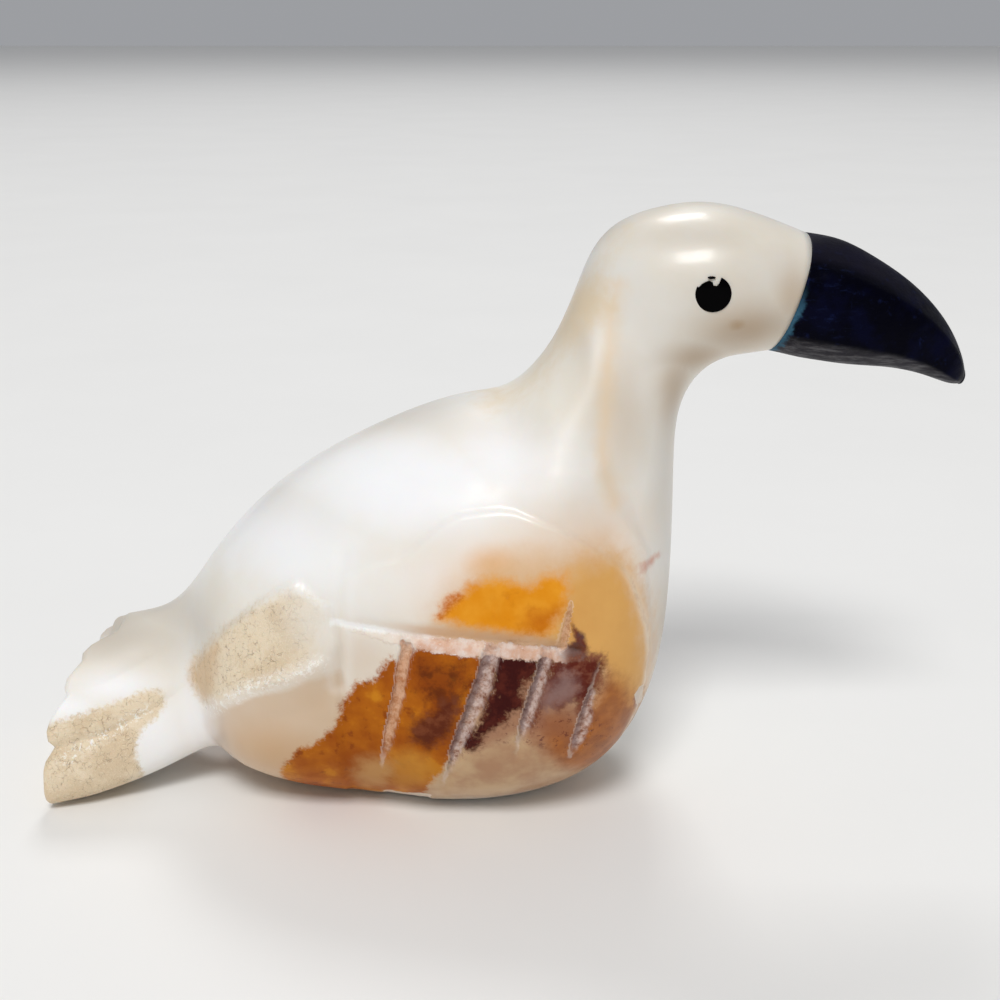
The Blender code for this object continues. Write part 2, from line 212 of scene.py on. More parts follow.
# Colours that lie in the stone on the right side, and places of painted highlights (glints, lip), as x
# and z outlines
ZONES = {
    "amber": (
        (-6.2, 25.9), (-5.8, 26.5), (-4.9, 27.5), (-4, 28.2), (-3.1, 29.1), (-2, 29.6), (-0.5, 29.8),
        (1, 29.5), (2.5, 29.2), (3.7, 29.5), (4.5, 30.1), (5.5, 30.3), (6.5, 30), (6.8, 28.7),
        (6.6, 27.3), (6.2, 26.2), (5.3, 24.4), (4.3, 23.7), (2.5, 23.8), (0.5, 24), (-1.5, 24.2),
        (-3, 24.5), (-4.5, 24.8), (-5.8, 25.3),
    ),
    "tan": (
        (6.7, 30), (8, 30.9), (10.1, 31.1), (11.9, 30.8), (13.2, 29), (14.4, 25.8), (15.3, 21.9),
        (15.7, 17.8), (15.8, 14.7), (15.4, 11.7), (13.6, 11), (10.4, 15.4), (10.2, 19.1), (6.5, 21.6),
        (4.6, 22.8), (4.8, 25), (6, 28),
    ),
    "orange": (
        (-18.5, 11.1), (-17.2, 12.7), (-16.6, 13.9), (-16.5, 14.9), (-16, 15.5), (-15.6, 16.3),
        (-15.4, 17.3), (-14.7, 17.8), (-13.7, 17.6), (-12.9, 18.1), (-12.4, 18.9), (-11.9, 20.3),
        (-11.1, 20.8), (-10.2, 20.5), (-8.8, 22), (-7.9, 22.9), (-6.6, 22.8), (-5.3, 22.6), (-3.8, 22.4),
        (-2.5, 21.9), (-1.5, 20.4), (-2.1, 18.6), (-2.7, 16.4), (-3.8, 13.8), (-4.6, 10.8), (-5.6, 8.2),
        (-7.2, 5.4), (-8.6, 1.9), (-13.9, 1.2), (-18.9, 1.4), (-23.1, 2.1), (-24.1, 4.5), (-22.5, 7.5),
        (-21.2, 9.3), (-19.5, 10.2),
    ),
    "maroon": (
        (-0.9, 21.6), (0.5, 21.9), (2, 22.1), (4.1, 21.9), (4, 19.8), (3.4, 18.6), (2.4, 19.1),
        (2.3, 17.8), (2.5, 15.5), (1.8, 15.2), (1, 14.7), (0.5, 13.7), (-0.1, 13.1), (-1, 12.6),
        (-1.8, 12.2), (-2.2, 11.2), (-2.9, 10.4), (-3.8, 10.6), (-3.5, 11.8), (-2.3, 13.4), (-1.4, 15.2),
        (-0.6, 17.3), (-0.6, 19), (-1, 20.4),
    ),
    "purple": (
        (4.2, 21.5), (6.1, 21.7), (8.2, 21.5), (10.1, 21.2), (10.4, 19.1), (10, 16.8), (9.2, 15),
        (8.4, 13.8), (7.4, 15.7), (6.2, 14.9), (4.9, 15.4), (3.9, 13.9), (2.9, 13.1), (2.9, 14.5),
        (3.4, 17), (4, 19.4),
    ),
    "lilac": (
        (5.7, 18.8), (6.5, 19.9), (7.4, 19.3), (8, 17.8), (7.2, 16.5), (6, 16.3), (4.9, 15.4),
        (4.2, 16.2), (4.9, 17.8),
    ),
    "pit": (
        (7, 25.2), (7.7, 24.5), (8.5, 23.6), (9, 22.2), (8.7, 21), (6.9, 21), (5.4, 21.3), (5.6, 22.2),
        (7, 22.5), (7.6, 23.1), (7.3, 24.1),
    ),
    "plum": (
        (-9.4, 12.8), (-8.6, 13.9), (-7.3, 14.8), (-6.2, 16.1), (-4.6, 16.9), (-4.2, 15.7), (-4.9, 12.6),
        (-5.5, 11.7), (-6.3, 11.3), (-7.4, 10), (-8.7, 10.8), (-9.3, 11.4),
    ),
    "rust": (
        (-8.5, 21.2), (-7.1, 20.8), (-5.3, 20.4), (-3, 20.5), (-3.4, 18.2), (-4.5, 15.7), (-5.4, 14.9),
        (-7.2, 16), (-8.5, 17.7), (-8.6, 19.4),
    ),
    "peach": (
        (-13.7, 15.7), (-9.8, 20.8), (-3, 22.8), (5.6, 22.2), (10.2, 19.1), (11.5, 15.1), (13.4, 12.5),
        (15.2, 12.8), (16, 12.8), (15.4, 9.5), (13.8, 6.7), (10.5, 4.1), (6.1, 1.9), (0.6, 1.3),
        (-6.4, 0.9), (-7.9, 0.8), (-10.6, 0.5), (-18.9, 1.2), (-15.5, 7.5),
    ),
    "umber": (
        (4.4, 15.2), (6.5, 15.2), (8.4, 14.1), (9.8, 16.8), (11.1, 18.9), (13.1, 17.4), (14.7, 13.5),
        (14.3, 9.2), (12.9, 7), (11, 4.9), (8.2, 5), (5.9, 7.4), (4.5, 10.4), (3.9, 13.2),
    ),
    "sand": (
        (-33.5, 15.4), (-32.7, 17.2), (-30.8, 19.8), (-29.1, 21.7), (-27.1, 23.4), (-25.4, 24.8),
        (-24, 25.7), (-22.6, 26.9), (-21.1, 27.3), (-19.7, 27), (-18.6, 26.3), (-18.1, 25.2),
        (-18.3, 23.9), (-18.9, 22.1), (-19.5, 20.5), (-20.8, 19.1), (-22.5, 17.8), (-24.8, 16.8),
        (-27.3, 15.7), (-29.4, 14.1), (-30.8, 13.6), (-31.8, 11.5), (-32.5, 11.9), (-33.4, 13.9),
    ),
    "tail_sand": (
        (-55, 9.2), (-49.7, 9.6), (-47.7, 10.2), (-45.4, 10.9), (-43.1, 11.5), (-40.8, 12.2),
        (-38.8, 12.9), (-37.3, 12.8), (-36.5, 12.3), (-36.7, 11), (-37.8, 9.5), (-39.2, 8.5),
        (-40.1, 7.2), (-40, 5.1), (-39.6, 2.4), (-39, -3), (-55, -3),
    ),
    "ochre": (
        (-33.8, 15.4), (-32.9, 17.2), (-31, 19.8), (-29.5, 20.4), (-29.7, 18.8), (-30.3, 16.8),
        (-31, 14.1), (-32, 11.4), (-33.2, 13),
    ),
    "red": (
        (14.2, 29.6), (15, 29.7), (16.5, 29.8), (16.7, 29.4), (16.2, 29.4), (15.9, 29.1), (15, 28.9),
        (14.4, 28.8), (14.7, 29.3),
    ),
    "dark": (
        (-6.2, 25.9), (-5.8, 26.6), (-4.9, 27.6), (-4, 28.3), (-3.8, 27.9), (-4.4, 27.3), (-5.1, 26.6),
        (-5.7, 25.7),
    ),
    "deep_amber": (
        (2.8, 26.2), (4.3, 26.3), (5.6, 26.7), (6.2, 26.3), (5.3, 24.9), (4.3, 24.3), (3, 24.4),
        (2.3, 24.9),
    ),
    "foot": (
        (-15, 7.6), (-13.3, 8.5), (-11.9, 7.7), (-11.6, 5.8), (-12.7, 3.2), (-14.9, 2.5), (-15.7, 4.9),
    ),
    "yolk": (
        (-11.4, 9.2), (-9.2, 9.9), (-7.7, 9.1), (-7.2, 7.1), (-8.4, 4.5), (-10.7, 3.1), (-11.9, 4.4),
        (-11.9, 7),
    ),
    "nape": (
        (-0.6, 44.4), (2.1, 46.1), (4.8, 49.1), (6.5, 52), (7.7, 55), (8.6, 57.8), (9.4, 60.3),
        (11.4, 62.8), (14, 64.4), (16.1, 65), (15.4, 63.9), (13, 62.3), (11.5, 60.2), (10.9, 57.8),
        (11.4, 55.4), (9.3, 53.3), (6.8, 50.7), (4.3, 47.6), (1.6, 45.3),
    ),
    "glow": (
        (-7.5, 23.4), (-6.4, 25.6), (-4.5, 28.6), (-1.5, 31.3), (2, 32.1), (5.5, 32.5), (10.6, 32.8),
        (13.6, 30.4), (15.1, 25.7), (15.9, 20.9), (16.4, 13.9), (14.3, 10.1), (8.4, 15.1), (8.1, 20.8),
        (3, 21.6), (-2, 21.4), (-6.6, 22.2),
    ),
    "flecks": (
        (-4.2, 11.2), (-3.2, 12), (-1.6, 13.8), (-1, 15.2), (1.5, 15.7), (3.6, 15.6), (7.3, 14.7),
        (11, 15.2), (13, 10.7), (10.9, 7.5), (7.5, 8.7), (4.2, 10.4), (1.6, 10.8), (-1, 11.5),
        (-2.8, 9.4), (-4, 8.8),
    ),
    # Where highlight glints are painted along the tail's lower ridge
    "glints": (
        (-48.4, 6), (-45.7, 8), (-42.6, 9.4), (-38.4, 11.5), (-37.7, 10.5), (-41.6, 8.4), (-44.8, 6.9),
        (-47.4, 5),
    ),
    # Where a painted highlight line runs along the groove's lower lip
    "lip": (
        (-17.4, 24.6), (-15.8, 24.4), (-12.2, 24), (-7.9, 23.6), (-5.6, 23.3), (-5.6, 23), (-7.9, 23),
        (-12.3, 23.3), (-15.8, 23.6), (-17.4, 24),
    ),
    "nick": (
        (15.1, 15.7), (14.5, 15.3), (14, 14.5), (14.4, 12.8), (15.2, 12.1), (14.8, 13.7), (15, 14.4),
        (15.6, 14.7),
    ),
    "brown": (
        (-1.5, 18.5), (3.8, 20), (8.3, 16.3), (9.7, 14.3), (7.4, 11), (4.4, 12.1), (2.4, 12.7),
        (0.5, 11.6), (-2.1, 10.5), (-3.2, 10.7), (-2.3, 14),
    ),
    "lobe": (
        (-33.1, 16), (-33.9, 14.2), (-33.3, 12.9), (-32.5, 11.9), (-32.3, 10.5), (-32.3, 8.8),
        (-31.8, 7.5), (-30.9, 6.1), (-29.7, 5.5), (-27.8, 3.8), (-24.5, 1.9), (-21.1, 1.3), (-17.8, 5.6),
        (-16.3, 9.9), (-15.9, 16.9), (-16.5, 19), (-19.6, 17.9), (-22.6, 16.6), (-25.7, 15.7),
        (-29.2, 13.6), (-31.4, 13.8),
    ),
}
# Soft tints, some of them painted shade and painted light: x, z, reach along each, strength
WASHES = {
    "halo": (
        (-0.6, 31, 3.4, 2.2, 1), (1.5, 30, 8.5, 4.2, 0.55), (9.5, 31.5, 5, 3.6, 0.35),
    ),
    # brown tint of the stone on cheek, throat and nape, with painted shade under the cheek
    "blush_and_shade": (
        (25, 53.2, 5, 2.9, 0.8), (23.8, 53.7, 1.7, 1.2, 1), (29.6, 56.5, 2.2, 3.4, 0.6),
        (20, 50.2, 4, 1.8, 0.75), (18.2, 47, 2.2, 4.5, 0.65), (8.8, 57.6, 1.1, 3.2, 0.6),
        (8.6, 52.5, 1, 3, 0.3),
    ),
    "warm": (
        (8.5, 34.5, 6.5, 4, 0.35), (3, 40, 9, 3, 0.12), (12, 44, 3, 8, 0.25), (-23.5, 8, 8, 6, 0.8),
        (-19, 15, 5, 6, 0.45), (-14, 20.5, 4, 4, 0.35), (-28, 8, 4.5, 5, 0.7), (-22, -1, 10, 6, 1),
        (-28.5, 13.5, 5, 3.5, 0.3), (-21, 13.5, 7, 4, 0.4), (18.4, 18, 2.6, 9, 0.35), (12, 2, 8, 7, 0.7),
        (0, 26, 9, 3, 0.5),
    ),
    # painted shade: greyer where the tail top, back rim, breast, neck and head turn from the light
    "painted_shade": (
        (17.5, 38, 2.6, 12, 0.5), (17.6, 22, 2.4, 9, 0.35), (-43, 18.6, 11, 3.6, 1.1),
        (-36, 21, 8, 4, 0.8), (-9, 43.6, 14, 2, 0.5), (-26, 34, 10, 2.6, 0.5), (23, 57, 13, 9, 0.6),
        (20, 62.5, 8, 3, 0.75), (12, 45, 5, 8, 0.55), (-17, 18, 6, 8, 0.25),
    ),
    # near-white stone at the tail root, and painted light where the upper flank, back and the tail's
    # band face the lamp
    "pale": (
        (-38, 7.5, 5, 5, 0.8), (-10, 37.5, 12, 4, 1), (-33, 9, 3, 6, 0.8), (-22, 31, 9, 4.5, 0.9),
        (0.5, 40.5, 7, 3.5, 0.9), (-41.5, 13.4, 5, 1.9, 1), (-47.5, 11.6, 4, 1.5, 1),
        (-12, 29, 8, 5, 0.5), (-7, 39, 9, 3, 1),
    ),
    "satin": (
        (7, 43, 5.5, 9, 1), (-44, 14, 9, 9, 0.9),
    ),
    "clear": (
        (-18.6, 24, 3.4, 3.6, 0.75), (-21, 27.4, 3, 1.6, 0.5),
    ),
}
# Vein down the neck, as x and z
VEIN = ((12.0, 57.5), (11.5, 55.4), (11.2, 53.0), (10.9, 49.9), (10.7, 47.3), (10.6, 44.5),
        (10.3, 41.6), (10.6, 39.2), (11.6, 36.5))


def smooth_curve(rows, shares):
    """Natural cubic through rows of values, read at shares of its length from 0 to 1."""
    rows = np.asarray(rows, float)
    count = len(rows)
    system = np.eye(count)
    right = np.zeros_like(rows)
    for row in range(1, count - 1):
        system[row, row - 1:row + 2] = (1.0, 4.0, 1.0)
        right[row] = 6.0 * (rows[row - 1] - 2.0 * rows[row] + rows[row + 1])
    bends = np.linalg.solve(system, right)
    places = np.asarray(shares) * (count - 1)
    low = np.minimum(places.astype(int), count - 2)
    after = (places - low)[:, None]
    before = 1.0 - after
    return (before * rows[low] + after * rows[low + 1]
            + (before ** 3 - before) * bends[low] / 6.0
            + (after ** 3 - after) * bends[low + 1] / 6.0)


def step(value, start, end):
    """Smooth step from 0 at start to 1 at end."""
    share = np.clip((value - start) / (end - start), 0.0, 1.0)
    return share * share * (3.0 - 2.0 * share)


def spread(weights, places, count):
    """Places that stand closer together where the weights are larger."""
    total = np.concatenate(([0.0], np.cumsum(0.5 * (weights[1:] + weights[:-1]) * np.diff(places))))
    return np.interp(np.linspace(0.0, total[-1], count), total, places)


def travel(rows, fine):
    """How far the back and the belly have moved along at fine shares."""
    moves = np.diff(smooth_curve(rows, fine)[:, :4], axis=0)
    lengths = 0.5 * (np.hypot(moves[:, 0], moves[:, 1]) + np.hypot(moves[:, 2], moves[:, 3]))
    return np.concatenate(([0.0], np.cumsum(lengths)))


def sections(rows, turn):
    """Rounded sections: x, z, y, the sideways share from -1 to 1, and the height share."""
    squareness, widest = rows[:, 5:6], rows[:, 6:7]
    up = np.abs(np.cos(turn)) ** (2.0 / squareness) * np.sign(np.cos(turn))
    side = np.abs(np.sin(turn)) ** (2.0 / squareness) * np.sign(np.sin(turn))
    height = (0.5 + 0.5 * up) ** (np.log(widest) / math.log(0.5))
    x = rows[:, 2:3] + height * (rows[:, 0:1] - rows[:, 2:3])
    z = rows[:, 3:4] + height * (rows[:, 1:2] - rows[:, 3:4])
    return x, z, rows[:, 4:5] * side, side, height


def inside(x, z, outline):
    """Distance in from an outline, negative outside it."""
    nearest = np.full(x.shape, 1e9)
    within = np.zeros(x.shape, bool)
    corners = np.array(outline, float)
    for start, end in zip(corners, np.roll(corners, -1, axis=0)):
        nearest = np.minimum(nearest, to_line(x, z, start, end))
        if start[1] != end[1]:
            crosses = (start[1] > z) != (end[1] > z)
            at = start[0] + (z - start[1]) / (end[1] - start[1]) * (end[0] - start[0])
            within ^= crosses & (x < at)
    return np.where(within, nearest, -nearest)


def to_line(x, z, start, end):
    """Distance to one straight line."""
    run = np.array(end, float) - np.array(start, float)
    along = np.clip(((x - start[0]) * run[0] + (z - start[1]) * run[1]) / (run @ run), 0.0, 1.0)
    return np.hypot(x - start[0] - along * run[0], z - start[1] - along * run[1])


def to_path(x, z, path):
    """Distance to a path of straight lines."""
    return np.min([to_line(x, z, start, end) for start, end in zip(path, path[1:])], axis=0)


def ripple(x, y, z, size, seed):
    """Smooth noise from -1 to 1 with waves of about that size."""
    values = [noise.noise(Vector((a / size + seed, b / size, c / size - seed)))
              for a, b, c in zip(x.ravel(), y.ravel(), z.ravel())]
    return np.array(values).reshape(x.shape)


def cut_depth(x, z, rows, rough):
    """Depth of a saw cut, steep behind and sloping ahead, its share of its depth, and its side."""
    rows = np.array(rows)[::-1]
    middle, behind, ahead, deep = (np.interp(z, rows[:, 1], rows[:, column]) for column in (0, 2, 3, 4))
    within = (z > rows[0, 1]) & (z < rows[-1, 1])
    across = x - middle + 0.22 * rough
    rise_behind = (across + behind) / (CUT_STEEPNESS * behind + 0.12)
    rise_ahead = (ahead - across) / (0.75 * ahead)
    share = np.clip(np.minimum(rise_behind, rise_ahead), 0.0, 1.0) * within
    shape = share * (2.0 - share)
    side = across / np.where(across < 0.0, behind, ahead)
    return deep * shape, share * np.clip(deep / FULL_COLOUR_DEPTH, 0.0, 1.0), side


def flank_relief(x, z):
    """How far the shoulder, the wing plate, the lobe and its ridge stand out of the plain flank."""
    shoulder = inside(x, z, SHOULDER)
    blur = 1.0 - step(z, 38.5, 31.0)
    ahead = step(x, -13.0, 3.0)
    relief = SHOULDER_STEP * step(shoulder, -0.25 - 0.9 * blur, 0.45 + 1.3 * blur) * ahead
    relief += SHOULDER_ROUND * step(shoulder, -0.5, 3.5) * ahead
    relief += SHOULDER_LIP * np.exp(-((shoulder - 1.0) / 1.3) ** 2) * step(x, -3.0, 9.0)
    plate = inside(x, z, PLATE)
    firm = 0.25 + 0.75 * step(x, -14.0, -7.0)
    relief += firm * (PLATE_STEP * step(plate, -0.15, 0.35) + PLATE_ROUND * step(plate, 0.0, 7.0))
    lobe = inside(x, z, LOBE)
    relief += LOBE_STEP * step(lobe, -0.2, 0.5) + LOBE_ROUND * step(lobe, 0.5, 5.0)
    ridge = to_path(x, z, RIDGE)
    relief += RIDGE_HEIGHT * np.clip(1.0 - ridge / RIDGE_REACH, 0.0, 1.0) ** 1.5 * step(lobe, 0.0, 1.8)
    crease = to_path(x, z, CREASE)
    return relief - CREASE_DEPTH * np.clip(1.0 - crease / CREASE_REACH, 0.0, 1.0)


def carving(x, z, y, rough):
    """How deep the groove, the cuts and the chips are, and shares that colour them."""
    rows = np.array(GROOVE)
    top, valley, low, deep = (np.interp(x, rows[:, 0], rows[:, column]) for column in (1, 2, 3, 4))
    wobble = 0.10 * rough
    above = (top + wobble - z) / np.maximum(top - valley, 0.2)
    below = (z - low - wobble) / np.maximum(valley - low, 0.2)
    groove = np.clip(np.minimum(np.clip(above, 0.0, 1.0) ** 1.5, below), 0.0, 1.0) * (deep > 0.0)
    depth = deep * groove
    lower_wall = step(valley - z, -0.35, 0.35) * step(z - low, -0.45, 0.15)
    lower_wall *= np.clip(deep / FULL_COLOUR_DEPTH, 0.0, 1.0)

    cut_share = np.zeros(x.shape)
    warm_share = np.zeros(x.shape)
    cut_side = np.zeros(x.shape)
    for number, cut in enumerate(CUTS):
        cut_deep, share, side = cut_depth(x, z, cut, rough)
        cut_side = np.where(share > cut_share, side, cut_side)
        depth = np.maximum(depth, cut_deep)
        share = share * (0.06 + 0.94 * step(z, *CUT_FADES[number]))
        cut_share = np.maximum(cut_share, share)
        warm_share = np.maximum(warm_share, share * CUT_WARMTH[number])
    notch = np.array(NOTCH)[::-1]
    middle, half, deep = (np.interp(z, notch[:, 1], notch[:, column]) for column in (0, 2, 3))
    share = np.clip(1.0 - np.abs(x - middle) / half, 0.0, 1.0) * (z > notch[0, 1]) * (z < notch[-1, 1])
    depth = np.maximum(depth, deep * share)
    notch_share = share * (x < middle + 0.15) * np.clip(deep / 0.3, 0.0, 1.0)
    cut_share = np.maximum(cut_share, notch_share)
    warm_share = np.maximum(warm_share, notch_share)
    scratch = np.clip(1.0 - to_path(x, z, GHOST) / GHOST_REACH, 0.0, 1.0)
    depth = np.maximum(depth, GHOST_DEPTH * scratch)

    chips = np.zeros(x.shape)
    right = y < 0.0
    for outline, deep in ((CHIP_LOW, CHIP_LOW_DEPTH), (CHIP_FRONT, CHIP_FRONT_DEPTH)):
        chip = inside(x, z, outline) + 0.25 * rough
        chips = np.maximum(chips, step(chip, -0.05, 0.2) * right)
        depth += deep * step(chip, -0.1, 0.5) * right
    shares = {"cut": cut_share, "cut_side": cut_side, "warm_cut": warm_share,
              "groove_low": lower_wall, "groove": groove, "chips": chips}
    return depth, shares


def washes(x, z, spots):
    """Soft tint out of several spots."""
    total = np.zeros(x.shape)
    for middle_x, middle_z, reach_x, reach_z, strength in spots:
        away = ((x - middle_x) / reach_x) ** 2 + ((z - middle_z) / reach_z) ** 2
        total = np.maximum(total, strength * np.exp(-away))
    return total


def body_shape():
    """Rings of points on the body, and the fields that colour it."""
    fine = np.linspace(0.0, 1.0, 900)
    moved = travel(BODY_SECTIONS, fine)
    middle = smooth_curve(BODY_SECTIONS, fine)
    flank_x = 0.5 * (middle[:, 0] + middle[:, 2])
    weights = 1.0 + 1.5 * step(flank_x, -20.0, -12.0) * step(-flank_x, -16.5, -14.5)
    places = spread(weights, moved, BODY_RINGS)
    places = TAIL_RIM + places * (moved[-1] - TAIL_RIM) / moved[-1]
    rows = smooth_curve(BODY_SECTIONS, np.interp(places, moved, fine))

    turns = np.linspace(0.0, 2.0 * math.pi, 1441)
    weights = np.where(np.sin(turns) < 0.0, 1.75, 0.85) * (0.75 + 0.6 * np.sin(turns) ** 2)
    turn = spread(weights, turns, BODY_POINTS + 1)[:-1]
    x, z, y, side, height = sections(rows, turn[None, :])

    rough = 0.7 * ripple(x, y, z, 0.9, 3.0) + 0.5 * ripple(x, y, z, 0.35, 8.0)
    depth, shares = carving(x, z, y, rough)
    flank = np.clip(1.4 * side, -1.0, 1.0)
    fullness = BACK_FULLNESS * step(x, -34.0, -20.0) * step(-x, -13.0, -4.0)
    fullness *= np.exp(-((height - 0.82) / 0.14) ** 2)
    y = y + flank * (flank_relief(x, z) - depth + fullness)
    fade = 1.0 - step(places[:, None], 0.0, FLUTE_LENGTH)
    fanned = 1.0 - height + 0.010 * places[:, None]
    crest = np.abs(np.cos(math.pi * np.interp(fanned, FEATHER_EDGES, FEATHER_WAVES)))
    sharp = 1.0 - (1.0 - crest) ** 1.3
    y = y - side * fade * (1.0 - sharp) * FLUTE_DEPTH * (0.75 - 0.6 * step(height, 0.40, 0.72))
    near_end = 1.0 - step(places[:, None], 0.0, 3.2)
    edge = np.array(TAIL_EDGE)
    left_top = TAIL_LEFT_TOP * step(height, 0.70, 0.86) * step(side, 0.0, 0.5)
    x = x + near_end * (np.interp(height, edge[:, 0], edge[:, 1]) + left_top)

    low_waves = 0.13 * ripple(x, y, z, 7.5, 1.0) + 0.05 * ripple(x, y, z, 2.6, 5.0)
    polish = 1.0 - 0.25 * step(x, 8.0, 14.0)
    y = y + flank * low_waves * polish
    sawn = np.maximum(shares["cut"], shares["groove_low"])
    y = y + flank * SAW_MARKS * rough * np.clip(3.0 * sawn, 0.0, 1.0)
    z = np.maximum(z, 0.0)
    surface = np.stack((x, y, z), axis=2)

    caps = tail_end(surface[0])
    surface = np.concatenate((caps, surface))
    surface[:, :, 2] = np.maximum(surface[:, :, 2], 0.0)
    for name, share in shares.items():
        shares[name] = np.concatenate((np.repeat(share[:1], len(caps), axis=0), share))
    return surface, colouring(surface, shares)


def tail_end(rim):
    """Rings that close the tail with a rounded rim, from its middle outwards."""
    core = rim.mean(axis=0)
    core[1] = 0.0
    caps = []
    for level in range(TAIL_CAP_RINGS):
        share = (level + 0.5) / TAIL_CAP_RINGS
        ring = core + (rim - core) * share * 0.93
        ring[:, 0] -= TAIL_RIM * (1.0 + 0.3 * (1.0 - share ** 2))
        caps.append(ring)
    inward = rim - core
    reach = np.linalg.norm(inward, axis=1, keepdims=True)
    for level in range(TAIL_RIM_RINGS):
        lean = 0.5 * math.pi * (1.0 - (level + 0.5) / TAIL_RIM_RINGS)
        ring = rim - inward / reach * TAIL_RIM * (1.0 - math.cos(lean))
        ring[:, 0] -= TAIL_RIM * math.sin(lean)
        caps.append(ring)
    return np.array(caps)


def colouring(surface, shares):
    """The body's colouring fields: the carving's shares, the zones, the tints, and the edges along which
    highlights are painted.
    """
    x, y, z = surface[:, :, 0], surface[:, :, 1], surface[:, :, 2]
    through = step(y, -9.0, 9.0)
    deep_x = x + through * (LEFT_BACK + LEFT_WAVE * np.sin(0.22 * z))
    deep_z = z + through * LEFT_DOWN
    fields = dict(shares)
    for name, outline in ZONES.items():
        fields[name] = np.clip(inside(deep_x, deep_z, outline), -4.0, 4.0)
    for name, spots in WASHES.items():
        fields[name] = washes(deep_x, deep_z, spots)
    fields["groove_raw"] = step(x, -13.5, -6.0) * (1.0 - 0.9 * step(x, 5.2, 7.4))
    # Lines along the lobe's ridge, the crease and the front of the wing plate, where highlights are
    # painted
    fields["ridge"] = np.clip(1.0 - to_path(x, z, RIDGE) / 1.3, 0.0, 1.0)
    fields["crease"] = np.clip(1.0 - np.abs(to_path(x, z, CREASE) - 0.9) / 0.8, 0.0, 1.0)
    rim = np.clip(1.0 - np.abs(inside(x, z, PLATE) - 0.1) / 0.55, 0.0, 1.0)
    fields["rim"] = rim * step(x, 11.0, 14.0)
    fields["vein"] = 1.0 - np.clip(to_path(deep_x, deep_z, VEIN) / 2.2, 0.0, 1.0)
    return fields


def beak_shape():
    """Rings of points on the beak, with a flatter top, flat cheeks and a bevel underneath."""
    seat = np.array(BODY_SECTIONS[-1])
    rows = [seat]
    for shares in np.array(BEAK_SECTIONS):
        row = shares.copy()
        row[0] = seat[0] + shares[0] * BEAK_REACH
        row[2] = seat[0] + shares[2] * BEAK_REACH
        rows.append(row)
    fine = np.linspace(0.0, 1.0, 600)
    moved = travel(rows, fine)
    weights = 1.0 + 1.0 * step(moved, 0.8 * moved[-1], moved[-1])
    places = spread(weights, moved, BEAK_RINGS)
    rows = smooth_curve(rows, np.interp(places, moved, fine))
    turn = np.linspace(0.0, 2.0 * math.pi, BEAK_POINTS + 1)[:-1]
    x, z, y, side, height = sections(rows, turn[None, :])
    along = places[:, None] / moved[-1]

    # Facets: an under bevel, a cheek and a top band, eased in from the round seat
    facet = step(along, 0.0, 0.16) * (1.0 - step(along, 0.90, 1.0))
    bevel = np.interp(height, (0.0, 0.20, 0.24, 0.72, 0.78, 1.0), (0.40, 0.93, 0.985, 0.965, 0.90, 0.10))
    half = rows[:, 4:5]
    shaped = np.sign(side) * half * bevel
    y = y + BEAK_FACET * facet * (shaped - y) * step(np.abs(side), 0.0, 0.25)
    rough = ripple(x, y, z, 3.0, 2.0)
    y = y + side * (0.10 * rough + 0.03 * ripple(x, y, z, 0.9, 4.0)) * step(along, 0.02, 0.1)
    surface = np.stack((x, y, z), axis=2)

    # Blunt tip
    tip = surface[-1]
    core = tip.mean(axis=0)
    ahead = core - surface[-6].mean(axis=0)
    ahead /= np.linalg.norm(ahead)
    caps = []
    for level in range(1, BEAK_TIP_RINGS + 1):
        lean = 0.5 * math.pi * level / (BEAK_TIP_RINGS + 1)
        ring = core + (tip - core) * math.cos(lean) + ahead * BEAK_TIP * math.sin(lean)
        caps.append(ring)
    surface = np.concatenate((surface, np.array(caps)))
    along = np.concatenate((np.repeat(places[:, None], BEAK_POINTS, axis=1),
                            np.full((len(caps), BEAK_POINTS), moved[-1])))
    high = np.concatenate((height, np.repeat(height[-1:], len(caps), axis=0)))
    return surface, {"from_seat": along, "high": high}


def skin(name, surface, fields):
    """Closed mesh over rings of points in millimetres, with fields carried by its points."""
    rings, points = surface.shape[:2]
    ends = [surface[0].mean(axis=0), surface[-1].mean(axis=0)]
    places = np.concatenate((surface.reshape(-1, 3), ends)) * MM
    faces = []
    for ring in range(rings - 1):
        low = ring * points
        for point in range(points):
            after = (point + 1) % points
            faces.append((low + point, low + after, low + points + after, low + points + point))
    last = (rings - 1) * points
    for point in range(points):
        after = (point + 1) % points
        faces.append((rings * points, after, point))
        faces.append((rings * points + 1, last + point, last + after))
    centre = places.mean(axis=0)
    corners = places[[face[:3] for face in faces]]
    outward = np.cross(corners[:, 1] - corners[:, 0], corners[:, 2] - corners[:, 0])
    if (outward * (corners[:, 0] - centre)).sum() < 0.0:
        faces = [face[::-1] for face in faces]
    mesh = bpy.data.meshes.new(name)
    mesh.from_pydata(places.tolist(), [], faces)
    for label, field in fields.items():
        values = np.concatenate((field.ravel(), [field[0].mean(), field[-1].mean()]))
        mesh.attributes.new(label, 'FLOAT', 'POINT').data.foreach_set("value", values.astype(np.float32))
    mesh.shade_smooth()
    thing = bpy.data.objects.new(name, mesh)
    bpy.context.scene.collection.objects.link(thing)
    return thing


